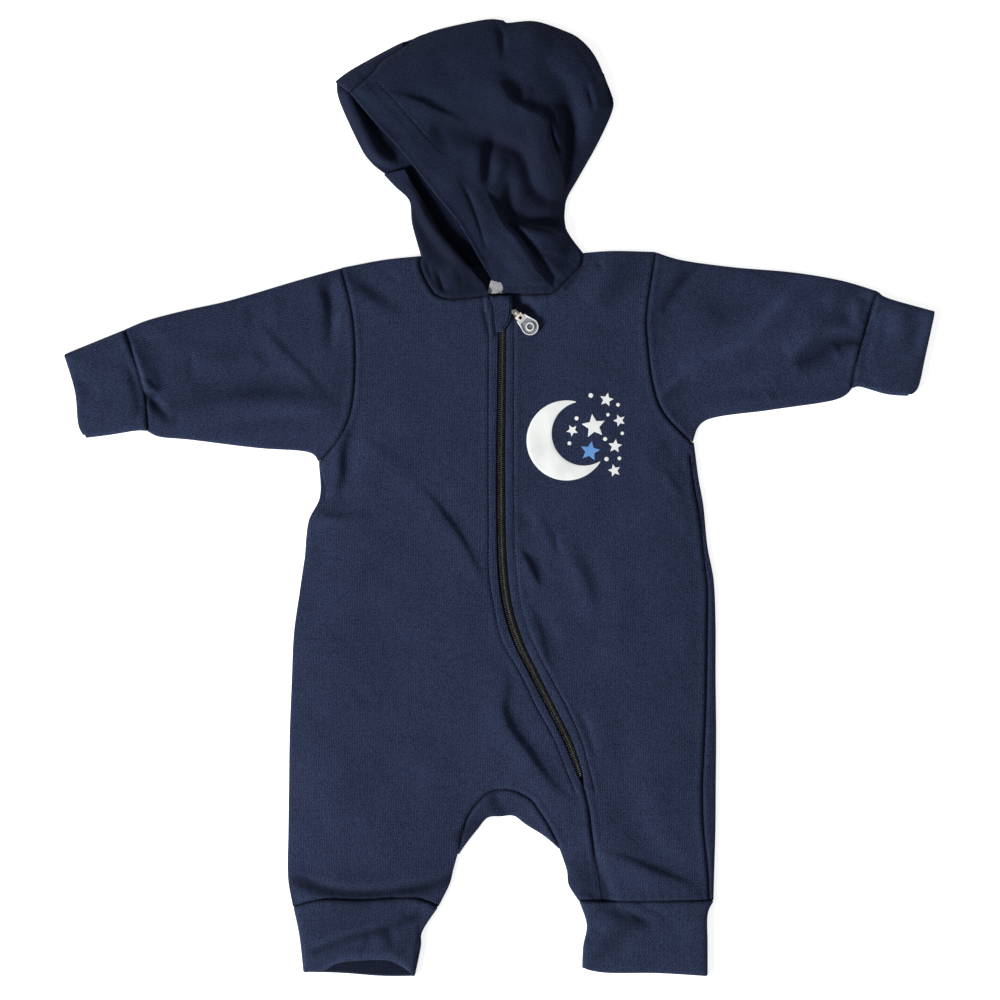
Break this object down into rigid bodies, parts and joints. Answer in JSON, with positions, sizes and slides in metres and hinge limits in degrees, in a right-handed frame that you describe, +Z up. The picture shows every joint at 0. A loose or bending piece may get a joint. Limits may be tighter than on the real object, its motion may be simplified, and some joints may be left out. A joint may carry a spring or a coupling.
{
  "type": "hooded baby romper",
  "caption": "Hooded, long-sleeved baby romper laid flat on its back, with a slanting front zip, knitted cuffs and a pull tab that swings.",
  "frame": {"origin": "on the surface the garment lies on, under the middle of its overall outline", "axes": "+Z up out of the surface, +Y from the legs to the hood, +X towards the wearer's left side"},
  "size_m": [0.6095, 0.6694, 0.0187],
  "materials": {
    "cloth": "soft matt cotton sweat cloth, navy",
    "cuff_cloth": "soft matt doubled cotton jersey, navy",
    "zip_tape": "woven black tape",
    "zip_coil": "black nylon coil, faintly shiny",
    "label": "plain grey woven tag",
    "slider_metal": "cream lacquered metal",
    "tab_plastic": "milky clear plastic"
  },
  "bodies": {
    "romper": {"front_right": "cloth", "front_left": "cloth", "back": "cloth", "gusset": "cloth", "sleeve_right": "cloth", "sleeve_left": "cloth", "cuff_right": "cuff_cloth", "cuff_left": "cuff_cloth", "leg_cuff_right": "cuff_cloth", "leg_cuff_left": "cuff_cloth", "hood_right": "cloth", "hood_left": "cloth", "zip_tape_right": "zip_tape", "zip_tape_left": "zip_tape", "zip_coil": "zip_coil", "chin_guard": "cloth", "neck_label": "label", "zip_slider": "slider_metal"},
    "tab": {"pull_link": "slider_metal", "pull_tab": "tab_plastic"}
  },
  "joints": [
    {"name": "pull_tab_swing", "type": "hinge", "parent": "romper", "child": "tab", "pos_m": [0.012, 0.1296, 0.008], "axis": [-0.6884, -0.7254, 0], "range_deg": [0, 150]}
  ]
}
